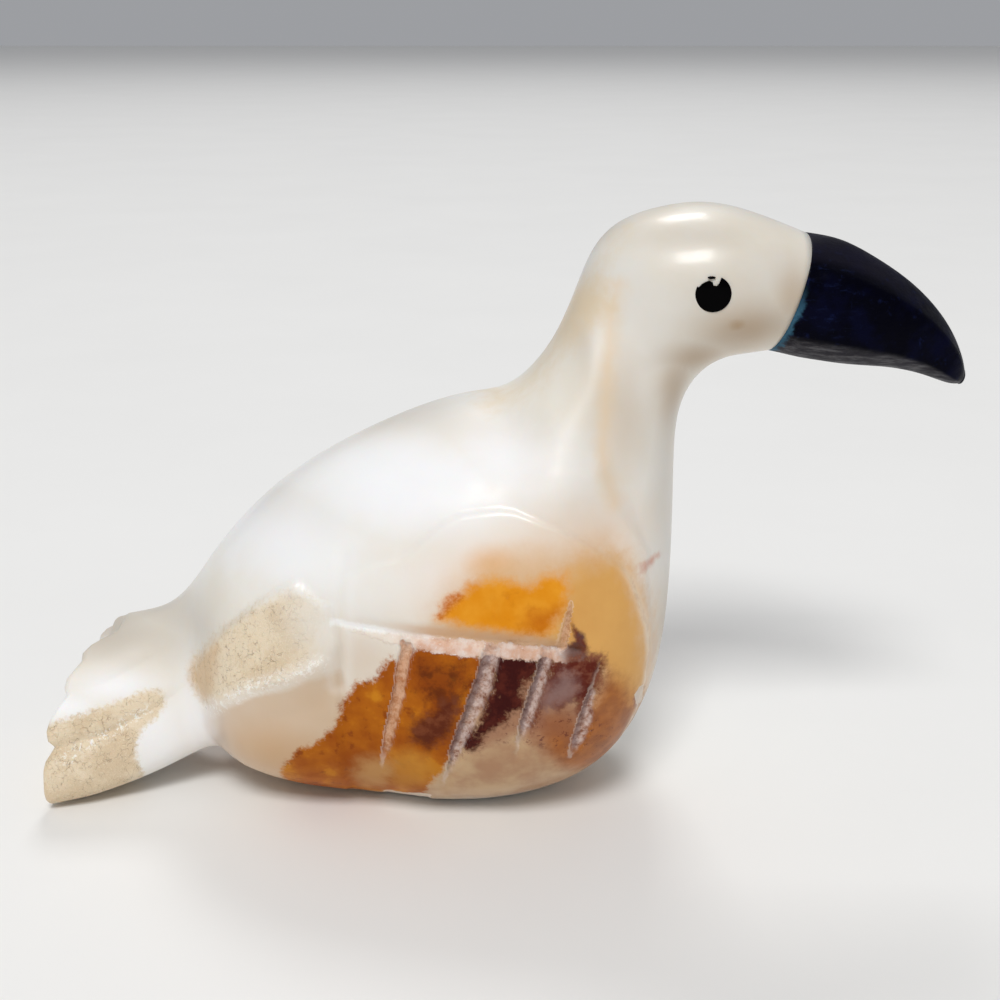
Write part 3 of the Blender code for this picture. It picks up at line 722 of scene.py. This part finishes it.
def eye_shape(name, node, side, chipped):
    """Domed disc, with the chip out of its upper rim."""
    low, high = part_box(node)
    centre = np.array(((low.x + high.x) / 2.0, 0.0, (low.z + high.z) / 2.0)) / MM
    front = (low.y if side < 0 else high.y) / MM
    radius = (high.x - low.x) / 2.0 / MM
    reach = np.linspace(0.0, 1.0, EYE_RINGS + 1)[1:]
    turn = np.linspace(0.0, 2.0 * math.pi, EYE_POINTS + 1)[:-1]
    x = radius * reach[:, None] * np.cos(turn)[None, :]
    z = radius * reach[:, None] * np.sin(turn)[None, :]
    sunk = EYE_DOME * (1.0 - np.sqrt(np.maximum(1.0 - (np.hypot(x, z) / radius) ** 2, 0.0))) - EYE_PROUD
    sunk += 0.012 * ripple(x, x * 0.0, z, 0.6, 2.0)
    if chipped:
        chip = np.minimum(inside(x, z, EYE_CHIP), 0.10)
        sliver = 1.0 - ((x + 0.24) / 0.42) ** 2 - ((z - 1.64) / 0.14) ** 2
        sunk += EYE_CHIP_DEPTH * step(chip, -0.02, 0.04) * (1.0 - step(sliver, -0.1, 0.1))
    rings = np.stack((centre[0] + x, front - side * sunk, centre[2] + z), axis=2)
    back = rings[-1:].copy()
    back[:, :, 1] = front - side * EYE_THICKNESS
    inner = back.copy()
    inner[:, :, (0, 2)] = centre[[0, 2]] + 0.5 * (back[:, :, (0, 2)] - centre[[0, 2]])
    return skin(name, np.concatenate((rings, back, inner)), {})


def paint(red, green, blue):
    """Colour from the usual 0 to 255 values."""
    values = [share / 255.0 for share in (red, green, blue)]
    linear = [share / 12.92 if share < 0.04045 else ((share + 0.055) / 1.055) ** 2.4 for share in values]
    return (*linear, 1.0)


class Stone:
    """A stone's material, built from nodes."""

    def __init__(self, name):
        self.material = bpy.data.materials.new(name)
        self.material.use_nodes = True
        self.tree = self.material.node_tree
        self.shader = self.tree.nodes["Principled BSDF"]
        self.place = self.tree.nodes.new('ShaderNodeTexCoord').outputs["Object"]

    def plug(self, socket, value):
        """Feed a socket from a node, or set it to a number or to a colour from 0 to 255."""
        if isinstance(value, bpy.types.NodeSocket):
            self.tree.links.new(value, socket)
        elif isinstance(value, tuple):
            socket.default_value = paint(*value)
        else:
            socket.default_value = value

    def give(self, label, value):
        self.plug(self.shader.inputs[label], value)

    def math(self, operation, first, second):
        node = self.tree.nodes.new('ShaderNodeMath')
        node.operation = operation
        self.plug(node.inputs[0], first)
        self.plug(node.inputs[1], second)
        return node.outputs[0]

    def plus(self, first, second):
        return self.math('ADD', first, second)

    def minus(self, first, second):
        return self.math('SUBTRACT', first, second)

    def times(self, first, second):
        return self.math('MULTIPLY', first, second)

    def most(self, first, second):
        return self.math('MAXIMUM', first, second)

    def ease(self, value, start, end, low=0.0, high=1.0):
        node = self.tree.nodes.new('ShaderNodeMapRange')
        node.interpolation_type = 'SMOOTHSTEP'
        self.plug(node.inputs["Value"], value)
        for label, number in (("From Min", start), ("From Max", end), ("To Min", low), ("To Max", high)):
            self.plug(node.inputs[label], number)
        return node.outputs["Result"]

    def noise(self, size, detail=3.0, roughness=0.55, shift=0.0, stretch=None):
        mapping = self.tree.nodes.new('ShaderNodeMapping')
        self.plug(mapping.inputs["Vector"], self.place)
        mapping.inputs["Location"].default_value = (shift, 0.7 * shift, -0.4 * shift)
        if stretch:
            mapping.inputs["Scale"].default_value = stretch
        node = self.tree.nodes.new('ShaderNodeTexNoise')
        self.plug(node.inputs["Vector"], mapping.outputs["Vector"])
        node.inputs["Scale"].default_value = 1.0 / (size * MM)
        node.inputs["Detail"].default_value = detail
        node.inputs["Roughness"].default_value = roughness
        return node.outputs[0]

    def cells(self, size, kind, warp):
        """Distance to the edge of a cell, with the cells bent by a noise."""
        bent = self.tree.nodes.new('ShaderNodeVectorMath')
        bent.operation = 'MULTIPLY_ADD'
        turned = self.tree.nodes.new('ShaderNodeTexNoise')
        self.plug(turned.inputs["Vector"], self.place)
        turned.inputs["Scale"].default_value = 1.0 / (1.3 * size * MM)
        self.plug(bent.inputs[0], turned.outputs["Color"])
        bent.inputs[1].default_value = (warp * MM,) * 3
        self.plug(bent.inputs[2], self.place)
        node = self.tree.nodes.new('ShaderNodeTexVoronoi')
        node.feature = kind
        self.plug(node.inputs["Vector"], bent.outputs[0])
        node.inputs["Scale"].default_value = 1.0 / (size * MM)
        return node.outputs[0]

    def field(self, name):
        node = self.tree.nodes.new('ShaderNodeAttribute')
        node.attribute_name = name
        return node.outputs["Fac"]

    def mix(self, share, first, second, blend='MIX'):
        node = self.tree.nodes.new('ShaderNodeMix')
        node.data_type = 'RGBA'
        node.blend_type = blend
        self.plug(node.inputs[0], share)
        self.plug(node.inputs[6], first)
        self.plug(node.inputs[7], second)
        return node.outputs[2]

    def tones(self, value, start, end, first, second):
        """One colour that passes into another between two values."""
        return self.mix(self.ease(value, start, end), first, second)

    def zone(self, name, soft, jitter):
        """Share inside a zone, with its edge softened and pushed about by a noise."""
        place = self.plus(self.field(name), jitter)
        return self.ease(place, -soft, soft)

    def bump(self, height, strength, distance, before=None):
        node = self.tree.nodes.new('ShaderNodeBump')
        node.inputs["Strength"].default_value = strength
        node.inputs["Distance"].default_value = distance * MM
        self.plug(node.inputs["Height"], height)
        if before is not None:
            self.plug(node.inputs["Normal"], before)
        return node.outputs["Normal"]


def onyx():
    """Polished pale onyx with its amber, brown and sandy zones."""
    stone = Stone("onyx")
    field, zone, ease, tones = stone.field, stone.zone, stone.ease, stone.tones
    plus, minus, times, most = stone.plus, stone.minus, stone.times, stone.most
    large = stone.noise(16.0, 3.0, 0.5, 1.0)
    clouds = stone.noise(5.0, 4.0, 0.55, 2.0)
    middle = stone.noise(1.6, 4.0, 0.6, 3.0)
    fine = stone.noise(0.45, 4.0, 0.65, 4.0)
    grain = stone.noise(0.16, 2.0, 0.6, 5.0)

    def jitter(wide, narrow):
        """Noise that pushes the edges of zones about."""
        first = times(minus(middle, 0.5), wide)
        second = times(minus(fine, 0.5), narrow)
        return plus(first, second)

    soft = jitter(2.0, 0.6)
    feathered = plus(jitter(2.6, 2.0), times(minus(clouds, 0.5), 3.0))
    ragged = jitter(1.6, 1.6)
    crisp = jitter(0.9, 0.5)

    def lay(base, share, colour, strength=1.0):
        """A colour laid over another one."""
        if strength != 1.0:
            share = times(share, strength)
        return stone.mix(share, base, colour)

    # The pale stone, its tints, and painted shade and light
    colour = tones(large, 0.35, 0.68, (239, 237, 230), (235, 227, 211))
    colour = lay(colour, ease(clouds, 0.40, 0.80), (243, 242, 238), 0.45)
    colour = lay(colour, field("warm"), (202, 150, 84), 0.92)
    colour = lay(colour, zone("lobe", 0.5, jitter(0.6, 0.3)), (206, 168, 122), 0.52)
    # Painted shade: grey where the surface turns from the light
    colour = lay(colour, field("painted_shade"), (190, 180, 166), 0.75)
    # Near-white stone in places, and painted light on the upper flank and the tail's lit band
    colour = lay(colour, field("pale"), (250, 250, 252), 0.8)
    # Brown tint of the stone on cheek and throat, with painted shade under the cheek
    colour = lay(colour, field("blush_and_shade"), (162, 127, 82), 0.8)
    vein = plus(field("vein"), times(minus(middle, 0.5), 0.5))
    colour = lay(colour, ease(vein, 0.2, 1.2), (232, 198, 150), 0.45)
    colour = lay(colour, zone("nape", 1.3, soft), (226, 204, 168), 0.75)
    colour = lay(colour, field("halo"), (238, 184, 128), 0.85)

    # Tan and peach low on the wing, then the stronger colours over them
    amber_tone = tones(clouds, 0.4, 0.62, (233, 155, 36), (226, 141, 12))
    amber_tone = lay(amber_tone, ease(middle, 0.58, 0.78), (206, 120, 6), 0.5)
    amber_tone = lay(amber_tone, zone("deep_amber", 1.2, soft), (192, 100, 2), 0.8)
    orange_tone = tones(clouds, 0.36, 0.62, (184, 104, 10), (158, 78, 2))
    orange_tone = lay(orange_tone, ease(middle, 0.56, 0.68), (132, 56, 1), 0.7)
    orange_tone = lay(orange_tone, ease(clouds, 0.44, 0.34), (208, 136, 26), 0.7)
    orange_tone = lay(orange_tone, zone("yolk", 1.4, soft), (200, 138, 52), 0.75)
    orange_tone = lay(orange_tone, zone("foot", 1.4, soft), (202, 156, 98), 0.8)
    shares = {}
    for name, softness, push, tone, strength in (
        ("glow", 2.4, soft, (216, 172, 118), 0.75),
        ("tan", 1.8, soft, stone.mix(clouds, (228, 174, 92), (206, 146, 66)), 0.92),
        ("peach", 2.2, soft, tones(clouds, 0.35, 0.65, (198, 162, 116), (172, 122, 76)), 0.95),
        ("umber", 1.6, soft, tones(middle, 0.35, 0.65, (172, 96, 22), (148, 76, 12)), 0.88),
        ("amber", 1.0, jitter(2.0, 0.9), amber_tone, 1.0),
        ("dark", 0.5, ragged, (190, 92, 4), 0.75),
        ("orange", 0.45, ragged, orange_tone, 1.0),
        ("rust", 1.0, ragged, tones(middle, 0.42, 0.6, (134, 60, 2), (92, 34, 1)), 0.85),
        ("plum", 0.9, ragged, tones(middle, 0.42, 0.62, (84, 30, 14), (116, 60, 36)), 0.9),
        ("brown", 1.2, soft, (152, 94, 60), 0.75),
        ("maroon", 0.7, plus(feathered, 0.25), tones(middle, 0.45, 0.66, (58, 6, 3), (84, 28, 16)), 1.0),
        ("purple", 0.9, feathered, tones(middle, 0.4, 0.62, (92, 30, 16), (128, 74, 54)), 1.0),
        ("lilac", 1.2, ragged, (142, 112, 106), 0.85),
        ("pit", 0.3, crisp, tones(middle, 0.4, 0.6, (104, 38, 8), (96, 56, 48)), 1.0),
    ):
        shares[name] = zone(name, softness, push)
        colour = lay(colour, shares[name], tone, strength)

    # Red-brown specks under the dark patches
    speck_room = ease(field("flecks"), -0.6, 1.0)
    specks = times(ease(stone.noise(0.9, 4.0, 0.75, 7.0), 0.57, 0.66), speck_room)
    colour = lay(colour, specks, (104, 40, 20), 0.8)

    # Sandy crazed patches
    sand_edge = jitter(1.0, 1.6)
    sand = most(zone("sand", 0.8, sand_edge), zone("tail_sand", 0.45, sand_edge))
    sand = times(sand, minus(1.0, field("clear")))
    sand_tone = tones(clouds, 0.4, 0.6, (232, 213, 182), (216, 192, 156))
    sand_tone = lay(sand_tone, ease(grain, 0.5, 0.7), (240, 228, 204), 0.5)
    sand_tone = lay(sand_tone, zone("ochre", 0.8, soft), (216, 182, 138), 0.8)
    cracks = ease(stone.cells(1.0, 'DISTANCE_TO_EDGE', 2.2), 0.030, 0.0)
    crack_room = times(ease(middle, 0.42, 0.54), ease(fine, 0.38, 0.52))
    cracks = times(times(cracks, crack_room), sand)
    sand_tone = lay(sand_tone, ease(fine, 0.52, 0.66), (206, 184, 146), 0.45)
    sand_tone = lay(sand_tone, cracks, (130, 92, 52), 0.5)
    colour = lay(colour, sand, sand_tone, 0.92)
    # Painted highlight: a paler line along the lobe's ridge
    colour = lay(colour, field("ridge"), (246, 240, 230), 0.45)
    # Painted highlight: a faint pale line along the crease
    colour = lay(colour, field("crease"), (250, 248, 244), 0.22)
    # Painted glints: pale flecks of highlight along the ridges of the lobe and the tail
    glint_room = most(field("ridge"), ease(field("glints"), -0.5, 0.5))
    glints = times(ease(stone.noise(0.55, 3.0, 0.8, 11.0), 0.52, 0.60), glint_room)
    colour = lay(colour, glints, (252, 248, 240), 0.85)
    # Painted highlight: a white line along the groove's lower lip
    colour = lay(colour, zone("lip", 0.22, jitter(0.3, 0.5)), (252, 251, 248), 0.85)
    colour = lay(colour, zone("nick", 0.2, jitter(0.4, 0.5)), (136, 74, 48), 0.75)
    # Painted highlight: a pale line along the front edge of the wing plate
    rim = times(field("rim"), ease(middle, 0.36, 0.56))
    colour = lay(colour, rim, (240, 220, 192), 0.8)

    # Red vein on the breast
    colour = lay(colour, zone("red", 0.5, crisp), (206, 142, 116), 0.8)

    # Cut walls with their painted shade and highlight, lower wall of the groove, chips
    cut = field("cut")
    cut_share = ease(plus(cut, jitter(0.25, 0.3)), 0.06, 0.55)
    patchy = stone.noise(0.9, 4.0, 0.75, 9.0)
    behind = ease(plus(field("cut_side"), jitter(0.7, 0.8)), 0.30, -0.10)
    cut_tone = tones(patchy, 0.36, 0.62, (172, 134, 118), (224, 204, 196))
    cut_tone = lay(cut_tone, ease(patchy, 0.42, 0.34), (112, 52, 36), 0.75)
    # Painted shade: the steep wall behind each cut is greyer and darker
    cut_tone = lay(cut_tone, behind, tones(patchy, 0.35, 0.65, (108, 86, 86), (152, 130, 130)), 0.8)
    warm_tone = tones(patchy, 0.36, 0.64, (196, 142, 102), (232, 190, 156))
    cut_tone = lay(cut_tone, ease(field("warm_cut"), 0.1, 0.5), warm_tone, 0.9)
    colour = lay(colour, cut_share, cut_tone, 0.82)
    # Painted highlight: a pale line along the edge of each cut's steep wall
    edge = times(ease(cut, 0.0, 0.06), minus(1.0, ease(cut, 0.12, 0.3)))
    edge = times(edge, behind)
    colour = lay(colour, edge, (236, 220, 208), 0.35)
    groove_low = field("groove_low")
    groove_share = ease(plus(groove_low, jitter(1.8, 1.6)), 0.20, 0.70)
    groove_share = times(groove_share, ease(groove_low, 0.0, 0.25))
    groove_tone = tones(middle, 0.4, 0.66, (222, 180, 154), (238, 220, 208))
    groove_tone = lay(groove_tone, ease(fine, 0.58, 0.70), (250, 246, 242), 0.7)
    groove_tone = lay(groove_tone, ease(middle, 0.42, 0.30), (186, 128, 96), 0.5)
    colour = lay(colour, times(groove_share, field("groove_raw")), groove_tone, 0.85)
    upper = minus(ease(field("groove"), 0.05, 0.4), groove_share)
    upper = times(most(upper, 0.0), field("groove_raw"))
    colour = lay(colour, upper, (214, 166, 122), 0.6)
    chips = ease(field("chips"), 0.3, 0.7)
    colour = lay(colour, chips, (236, 222, 206), 0.9)

    stone.give("Base Color", colour)
    raw = most(most(cut_share, groove_share), chips)
    deep_tones = most(most(shares["maroon"], shares["purple"]), most(shares["orange"], shares["amber"]))
    deep_tones = most(deep_tones, times(most(shares["umber"], shares["tan"]), 0.6))
    rough = ease(clouds, 0.35, 0.7, 0.38, 0.46)
    rough = plus(rough, times(raw, 0.28))
    rough = plus(rough, times(sand, 0.16))
    rough = plus(rough, times(field("satin"), 0.12))
    rough = minus(rough, times(field("ridge"), 0.15))
    stone.give("Roughness", rough)
    dull = most(most(raw, deep_tones), field("satin"))
    stone.give("Coat Weight", ease(dull, 0.0, 0.8, 0.32, 0.0))
    stone.give("Coat Roughness", 0.17)
    stone.give("Specular IOR Level", ease(deep_tones, 0.0, 1.0, 0.5, 0.12))
    stone.give("Subsurface Weight", ease(deep_tones, 0.0, 1.0, 0.2, 0.04))
    stone.shader.inputs["Subsurface Radius"].default_value = (1.0, 0.62, 0.38)
    stone.give("Subsurface Scale", 1.5 * MM)
    normal = stone.bump(times(fine, plus(raw, 0.05)), 0.5, 0.25)
    normal = stone.bump(times(grain, plus(sand, 0.03)), 0.5, 0.10, normal)
    normal = stone.bump(times(cracks, -1.0), 0.6, 0.12, normal)
    normal = stone.bump(middle, 0.25, 0.10, normal)
    stone.give("Normal", normal)
    return stone.material


def navy_stone():
    """Satin dark navy stone, brushed near its seat, with a teal line of glue, a painted sheen on its top
    band and a painted reflection of the floor on its under bevel.
    """
    stone = Stone("navy_beak")
    ease, times = stone.ease, stone.times
    clouds = stone.noise(4.0, 4.0, 0.6, 1.0)
    middle = stone.noise(1.2, 4.0, 0.65, 2.0)
    brushed = stone.noise(1.0, 4.0, 0.7, 3.0, (0.35, 1.0, 1.6))
    fine = stone.noise(0.3, 3.0, 0.6, 4.0)
    from_seat = stone.field("from_seat")
    high = stone.field("high")
    colour = stone.tones(clouds, 0.42, 0.66, (0, 0, 9), (2, 3, 26))
    colour = stone.mix(times(ease(middle, 0.58, 0.74), 0.7), colour, (14, 22, 56))
    streaks = times(ease(brushed, 0.55, 0.75), ease(from_seat, 9.0, 0.5))
    colour = stone.mix(times(streaks, 0.5), colour, (30, 42, 82))
    # Painted sheen: a lighter top band
    top = times(ease(high, 0.80, 0.88), ease(from_seat, 16.0, 6.0))
    colour = stone.mix(times(top, 0.6), colour, (24, 22, 34))
    # Painted reflection of the floor: grey on the under bevel
    under = ease(high, 0.24, 0.15)
    floor_reflection_tone = stone.tones(brushed, 0.4, 0.7, (44, 42, 48), (98, 97, 100))
    colour = stone.mix(times(under, 0.8), colour, floor_reflection_tone)
    ragged = times(stone.minus(middle, 0.5), 1.6)
    seam = ease(stone.plus(from_seat, ragged), 0.75, 0.25)
    low = ease(high, 0.70, 0.35)
    glue = stone.mix(fine, (34, 70, 96), (70, 112, 132))
    colour = stone.mix(times(seam, low), colour, glue)
    stone.give("Base Color", colour)
    stone.give("Roughness", ease(middle, 0.3, 0.7, 0.34, 0.50))
    stone.give("Specular IOR Level", 0.04)
    normal = stone.bump(brushed, 0.35, 0.12)
    normal = stone.bump(fine, 0.3, 0.06, normal)
    stone.give("Normal", normal)
    return stone.material


def black_inlay():
    """Glossy black disc with faint polishing marks."""
    stone = Stone("black_eye")
    clouds = stone.noise(1.2, 3.0, 0.6, 1.0)
    fine = stone.noise(0.2, 3.0, 0.6, 2.0)
    stone.give("Base Color", stone.mix(clouds, (0, 0, 0), (3, 2, 3)))
    stone.give("Roughness", stone.ease(fine, 0.3, 0.7, 0.10, 0.22))
    stone.give("Specular IOR Level", 0.03)
    stone.give("Normal", stone.bump(fine, 0.15, 0.02))
    return stone.material


def piece(thing, node, material):
    """Set a piece in the place of its solid."""
    thing.data.materials.append(material)
    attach(thing, "root")
    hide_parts(node)


body_rings, body_fields = body_shape()
piece(skin("carved_body", body_rings, body_fields), "body", onyx())
beak_rings, beak_fields = beak_shape()
piece(skin("carved_beak", beak_rings, beak_fields), "beak", navy_stone())
black = black_inlay()
piece(eye_shape("right_eye_disc", "eye_right", -1, True), "eye_right", black)
piece(eye_shape("left_eye_disc", "eye_left", 1, False), "eye_left", black)

# Pale floor
floor_stone = Stone("pale_floor")
speckle = floor_stone.noise(60.0, 4.0, 0.6)
floor_stone.give("Base Color", floor_stone.mix(speckle, (242, 241, 238), (236, 235, 232)))
floor_stone.give("Roughness", 0.7)
FLOOR_REACH = 4.0
FLOOR_DROP = 0.00005
sides = ((-1, -1), (1, -1), (1, 1), (-1, 1))
corners = [(FLOOR_REACH * x, FLOOR_REACH * y, -FLOOR_DROP) for x, y in sides]
floor_mesh = bpy.data.meshes.new("floor")
floor_mesh.from_pydata(corners, [], [(0, 1, 2, 3)])
floor = bpy.data.objects.new("floor", floor_mesh)
floor_mesh.materials.append(floor_stone.material)
bpy.context.scene.collection.objects.link(floor)

# Light: pale surroundings, a soft lamp from in front and above, and a weaker one from behind and above
LIGHT_AIM = Vector((0.0, 0.0, 0.03))
KEY_PLACE = Vector((-0.15, -1.46, 2.06))
KEY_SIZE = 0.8
KEY_POWER = 38.0
TOP_PLACE = Vector((0.0, 1.45, 1.9))
TOP_SIZE = 0.6
TOP_POWER = 12.0
world = bpy.data.worlds.new("studio")
world.use_nodes = True
world.node_tree.nodes["Background"].inputs["Color"].default_value = (0.93, 0.95, 1.0, 1.0)
world.node_tree.nodes["Background"].inputs["Strength"].default_value = 0.36
bpy.context.scene.world = world


def soft_light(name, place, size, power):
    """Square soft light that faces the bird."""
    lamp = bpy.data.lights.new(name, 'AREA')
    lamp.shape = 'SQUARE'
    lamp.size = size
    lamp.energy = power
    thing = bpy.data.objects.new(name, lamp)
    thing.location = place
    thing.rotation_euler = (LIGHT_AIM - place).to_track_quat('-Z', 'Y').to_euler()
    bpy.context.scene.collection.objects.link(thing)


soft_light("key", KEY_PLACE, KEY_SIZE, KEY_POWER)
soft_light("top", TOP_PLACE, TOP_SIZE, TOP_POWER)

# Camera at the photograph's place: ahead of the right side and a little above
CAMERA_AIM = Vector((0.0, 0.0, 0.0325))
CAMERA_AWAY = 0.165
CAMERA_ELEVATION = math.radians(18.0)
CAMERA_LENS = 54.0
camera = bpy.data.objects.new("camera", bpy.data.cameras.new("camera"))
back = Vector((0.0, -math.cos(CAMERA_ELEVATION), math.sin(CAMERA_ELEVATION)))
camera.location = CAMERA_AIM + CAMERA_AWAY * back
camera.rotation_euler = (-back).to_track_quat('-Z', 'Y').to_euler()
camera.data.lens = CAMERA_LENS
camera.data.clip_start = 0.01
bpy.context.scene.collection.objects.link(camera)
bpy.context.scene.camera = camera
bpy.context.scene.view_settings.view_transform = 'Standard'
